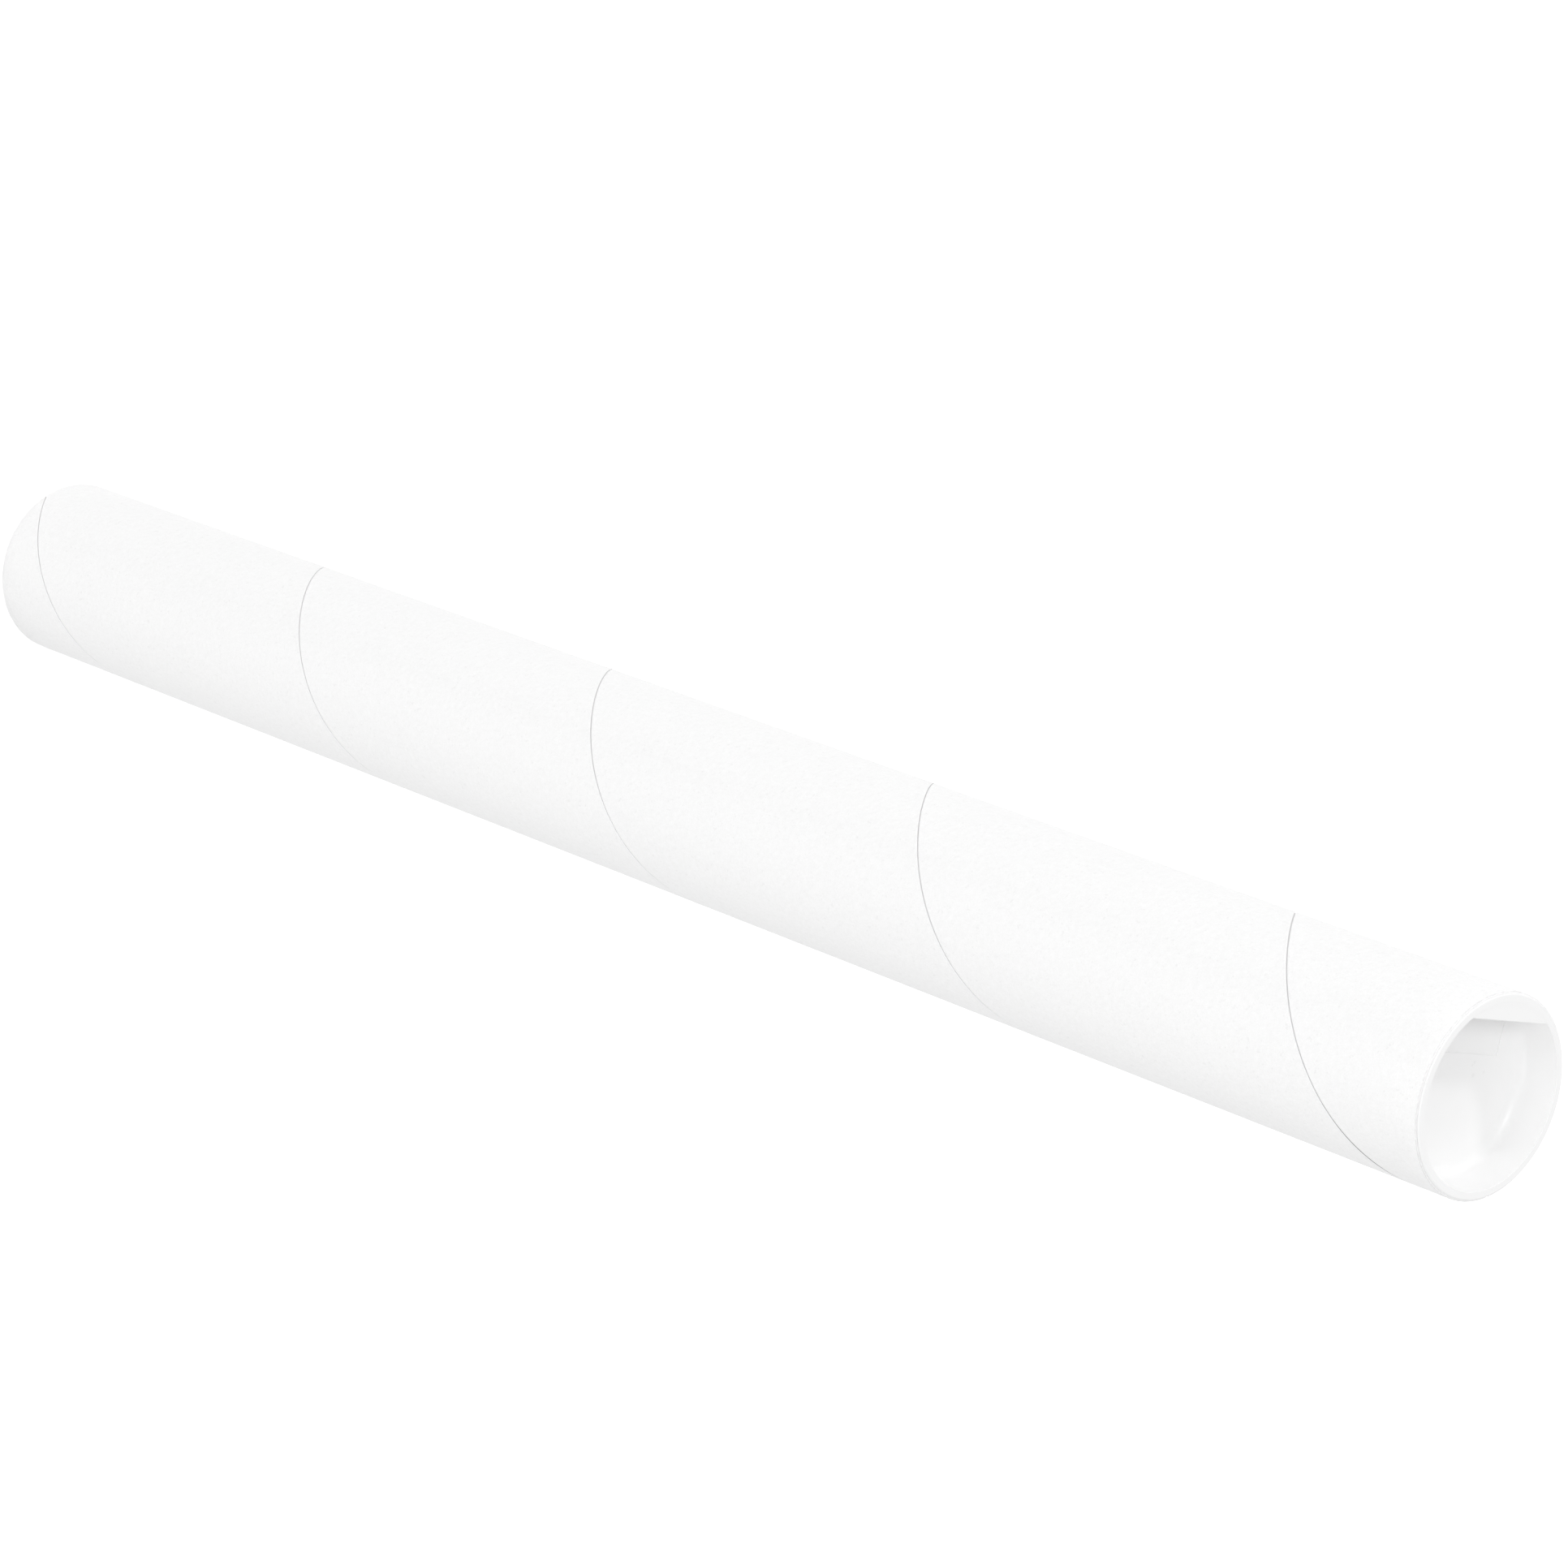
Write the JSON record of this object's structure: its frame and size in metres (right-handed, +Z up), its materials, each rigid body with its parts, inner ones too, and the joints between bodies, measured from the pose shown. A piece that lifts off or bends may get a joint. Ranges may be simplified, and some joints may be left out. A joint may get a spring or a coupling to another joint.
{
  "type": "cardboard mailing tube",
  "caption": "White spiral-wound cardboard mailing tube with a helical seam, closed at both ends by recessed plastic plug caps that pull out by a finger ledge.",
  "frame": {"origin": "centre of the lower cap's rim face, on the plane that the tube stands on", "axes": "+Z up the tube's axis to the cap that the picture shows; -X towards the side of both caps' pull ledges; +Y completes the right-handed frame"},
  "size_m": [0.0548, 0.0548, 0.6108],
  "materials": {
    "white_paperboard": "matte white kraft liner with a faint fibre mottle",
    "white_cap_plastic": "satin moulded polyethylene"
  },
  "bodies": {
    "tube": {"tube": "white_paperboard"},
    "top_cap": {"top_cap": "white_cap_plastic"},
    "bottom_cap": {"bottom_cap": "white_cap_plastic"}
  },
  "joints": [
    {"name": "top_cap_pull", "type": "slide", "parent": "tube", "child": "top_cap", "axis": [0, 0, 1], "range_m": [0, 0.07]},
    {"name": "bottom_cap_pull", "type": "slide", "parent": "tube", "child": "bottom_cap", "axis": [0, 0, -1], "range_m": [0, 0.07]}
  ]
}
